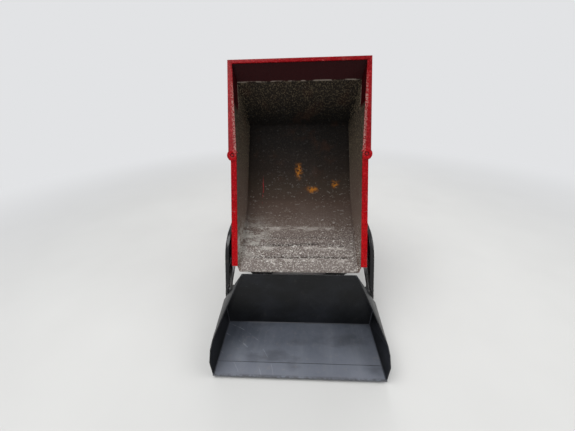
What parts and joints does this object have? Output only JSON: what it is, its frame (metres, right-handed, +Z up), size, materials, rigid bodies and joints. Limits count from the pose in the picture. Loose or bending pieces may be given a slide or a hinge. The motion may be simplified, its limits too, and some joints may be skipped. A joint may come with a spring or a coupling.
{
  "type": "self-loading site dumper",
  "caption": "Small articulated site dumper with a front tipping skip, loader arms that arch over the front wheels and a wide shovel.",
  "frame": {"origin": "on the ground under the middle of the machine's length and width", "axes": "+Z up, the shovel and the skip's lip face -Y, the operator looks along -Y, +X is on the viewer's right in a front view"},
  "size_m": [1.056, 3.018, 1.85],
  "materials": {
    "skip_paint": "glossy red enamel",
    "skip_steel": "worn and dirty plate",
    "frame_paint": "dark chassis paint",
    "arm_black": "gloss black paint",
    "shovel_black": "satin black, scuffed",
    "axle_iron": "painted casting",
    "wheel_paint": "grey wheel enamel",
    "tyre_rubber": "dusty rubber",
    "ram_black": "black barrel paint",
    "ram_chrome": "ground and plated rod",
    "seat_vinyl": "black seat cover",
    "grip_plastic": "moulded grip"
  },
  "bodies": {
    "front_frame": {"front_frame": "frame_paint", "front_axle": "axle_iron", "arm_towers": "frame_paint"},
    "skip": {"skip_tub": "skip_steel", "skip_rim": "skip_paint", "skip_cradle": "skip_paint"},
    "arms": {"arm_right": "arm_black", "arm_left": "arm_black"},
    "shovel": {"shovel_bucket": "shovel_black", "shovel_ears": "shovel_black"},
    "rear_frame": {"rear_frame": "frame_paint", "rear_axle": "axle_iron", "counterweight": "axle_iron", "floor_plate": "frame_paint", "console": "frame_paint", "seat_box": "skip_paint", "seat": "seat_vinyl", "engine": "axle_iron", "rops_posts": "arm_black", "fenders": "frame_paint", "side_tanks": "frame_paint"},
    "cowl": {"cowl": "skip_paint"},
    "rops_hoop": {"rops_hoop": "arm_black"},
    "steering_wheel": {"steering_wheel": "grip_plastic"},
    "tip_barrel": {"tip_barrel": "ram_black"},
    "tip_rod": {"tip_rod": "ram_chrome"},
    "steer_barrel": {"steer_barrel": "ram_black"},
    "steer_rod": {"steer_rod": "ram_chrome"},
    "lift_barrel_right": {"lift_barrel_right": "ram_black"},
    "lift_rod_right": {"lift_rod_right": "ram_chrome"},
    "crowd_barrel_right": {"crowd_barrel_right": "ram_black"},
    "crowd_rod_right": {"crowd_rod_right": "ram_chrome"},
    "wheel_front_right": {"tyre_front_right": "tyre_rubber", "wheel_front_right": "wheel_paint"},
    "wheel_rear_right": {"tyre_rear_right": "tyre_rubber", "wheel_rear_right": "wheel_paint"},
    "lift_barrel_left": {"lift_barrel_left": "ram_black"},
    "lift_rod_left": {"lift_rod_left": "ram_chrome"},
    "crowd_barrel_left": {"crowd_barrel_left": "ram_black"},
    "crowd_rod_left": {"crowd_rod_left": "ram_chrome"},
    "wheel_front_left": {"tyre_front_left": "tyre_rubber", "wheel_front_left": "wheel_paint"},
    "wheel_rear_left": {"tyre_rear_left": "tyre_rubber", "wheel_rear_left": "wheel_paint"}
  },
  "joints": [
    {"name": "skip_tip", "type": "hinge", "parent": "front_frame", "child": "skip", "pos_m": [0, -0.7, 0.6], "axis": [-1, 0, 0], "range_deg": [0, 64.7]},
    {"name": "arm_lift", "type": "hinge", "parent": "front_frame", "child": "arms", "pos_m": [0, 0, 0.74], "axis": [-1, 0, 0], "range_deg": [0, 75]},
    {"name": "shovel_crowd", "type": "hinge", "parent": "arms", "child": "shovel", "pos_m": [0, -1.06, 0.24], "axis": [-1, 0, 0], "range_deg": [0, 45]},
    {"name": "articulation", "type": "hinge", "parent": "front_frame", "child": "rear_frame", "pos_m": [0, 0.215, 0.44], "axis": [0, 0, 1], "range_deg": [-30, 30]},
    {"name": "cowl_hinge", "type": "hinge", "parent": "rear_frame", "child": "cowl", "pos_m": [0, 1.462, 0.52], "axis": [-1, 0, 0], "range_deg": [0, 70]},
    {"name": "rops_fold", "type": "hinge", "parent": "rear_frame", "child": "rops_hoop", "pos_m": [0, 1.236, 1.15], "axis": [-1, 0, 0], "range_deg": [0, 90]},
    {"name": "steering_wheel_turn", "type": "hinge", "parent": "rear_frame", "child": "steering_wheel", "pos_m": [0, 0.64, 1], "axis": [0, 0.5, 0.866], "continuous": true},
    {"name": "wheel_front_right_spin", "type": "hinge", "parent": "front_frame", "child": "wheel_front_right", "pos_m": [0.331, -0.48, 0.292], "axis": [1, 0, 0], "continuous": true},
    {"name": "wheel_front_left_spin", "type": "hinge", "parent": "front_frame", "child": "wheel_front_left", "pos_m": [-0.331, -0.48, 0.292], "axis": [1, 0, 0], "continuous": true},
    {"name": "wheel_rear_right_spin", "type": "hinge", "parent": "rear_frame", "child": "wheel_rear_right", "pos_m": [0.331, 0.9, 0.292], "axis": [1, 0, 0], "continuous": true},
    {"name": "wheel_rear_left_spin", "type": "hinge", "parent": "rear_frame", "child": "wheel_rear_left", "pos_m": [-0.331, 0.9, 0.292], "axis": [1, 0, 0], "continuous": true},
    {"name": "tip_ram_pivot", "type": "hinge", "parent": "front_frame", "child": "tip_barrel", "pos_m": [0, 0, 0.44], "axis": [-1, 0, 0], "range_deg": [-7.02, 0.01]},
    {"name": "tip_ram_stroke", "type": "slide", "parent": "tip_barrel", "child": "tip_rod", "axis": [0, -0.8762, 0.4819], "range_m": [-0.20421, 0.0001]},
    {"name": "lift_ram_right_pivot", "type": "hinge", "parent": "front_frame", "child": "lift_barrel_right", "pos_m": [0.47, 0.06, 0.33], "axis": [-1, 0, 0], "range_deg": [-0.01, 38.82]},
    {"name": "lift_ram_right_stroke", "type": "slide", "parent": "lift_barrel_right", "child": "lift_rod_right", "axis": [0, -0.8255, 0.5644], "range_m": [-0.0001, 0.24852]},
    {"name": "crowd_ram_right_pivot", "type": "hinge", "parent": "arms", "child": "crowd_barrel_right", "pos_m": [0.47, -0.56, 0.645], "axis": [-1, 0, 0], "range_deg": [-3.18, 0.01]},
    {"name": "crowd_ram_right_stroke", "type": "slide", "parent": "crowd_barrel_right", "child": "crowd_rod_right", "axis": [0, -0.8782, -0.4783], "range_m": [-0.08306, 0.0001]},
    {"name": "lift_ram_left_pivot", "type": "hinge", "parent": "front_frame", "child": "lift_barrel_left", "pos_m": [-0.47, 0.06, 0.33], "axis": [-1, 0, 0], "range_deg": [-0.01, 38.82]},
    {"name": "lift_ram_left_stroke", "type": "slide", "parent": "lift_barrel_left", "child": "lift_rod_left", "axis": [0, -0.8255, 0.5644], "range_m": [-0.0001, 0.24852]},
    {"name": "crowd_ram_left_pivot", "type": "hinge", "parent": "arms", "child": "crowd_barrel_left", "pos_m": [-0.47, -0.56, 0.645], "axis": [-1, 0, 0], "range_deg": [-3.18, 0.01]},
    {"name": "crowd_ram_left_stroke", "type": "slide", "parent": "crowd_barrel_left", "child": "crowd_rod_left", "axis": [0, -0.8782, -0.4783], "range_m": [-0.08306, 0.0001]},
    {"name": "steer_ram_pivot", "type": "hinge", "parent": "front_frame", "child": "steer_barrel", "pos_m": [-0.21, -0.15, 0.34], "axis": [0, 0, 1], "range_deg": [-6.38, 6.38]},
    {"name": "steer_ram_stroke", "type": "slide", "parent": "steer_barrel", "child": "steer_rod", "axis": [0.0208, 0.9998, 0], "range_m": [-0.10372, 0.10372]}
  ],
  "couplings": [
    {"joint": "tip_ram_pivot", "follows": "skip_tip", "ratio": -0.10837},
    {"joint": "tip_ram_stroke", "follows": "skip_tip", "m_per_rad": -0.18075},
    {"joint": "lift_ram_right_pivot", "follows": "arm_lift", "ratio": 0.51752},
    {"joint": "lift_ram_right_stroke", "follows": "arm_lift", "m_per_rad": 0.18978},
    {"joint": "crowd_ram_right_pivot", "follows": "shovel_crowd", "ratio": -0.070479},
    {"joint": "crowd_ram_right_stroke", "follows": "shovel_crowd", "m_per_rad": -0.10563},
    {"joint": "lift_ram_left_pivot", "follows": "arm_lift", "ratio": 0.51752},
    {"joint": "lift_ram_left_stroke", "follows": "arm_lift", "m_per_rad": 0.18978},
    {"joint": "crowd_ram_left_pivot", "follows": "shovel_crowd", "ratio": -0.070479},
    {"joint": "crowd_ram_left_stroke", "follows": "shovel_crowd", "m_per_rad": -0.10563},
    {"joint": "steer_ram_pivot", "follows": "articulation", "ratio": 0.2122},
    {"joint": "steer_ram_stroke", "follows": "articulation", "m_per_rad": -0.19789}
  ]
}
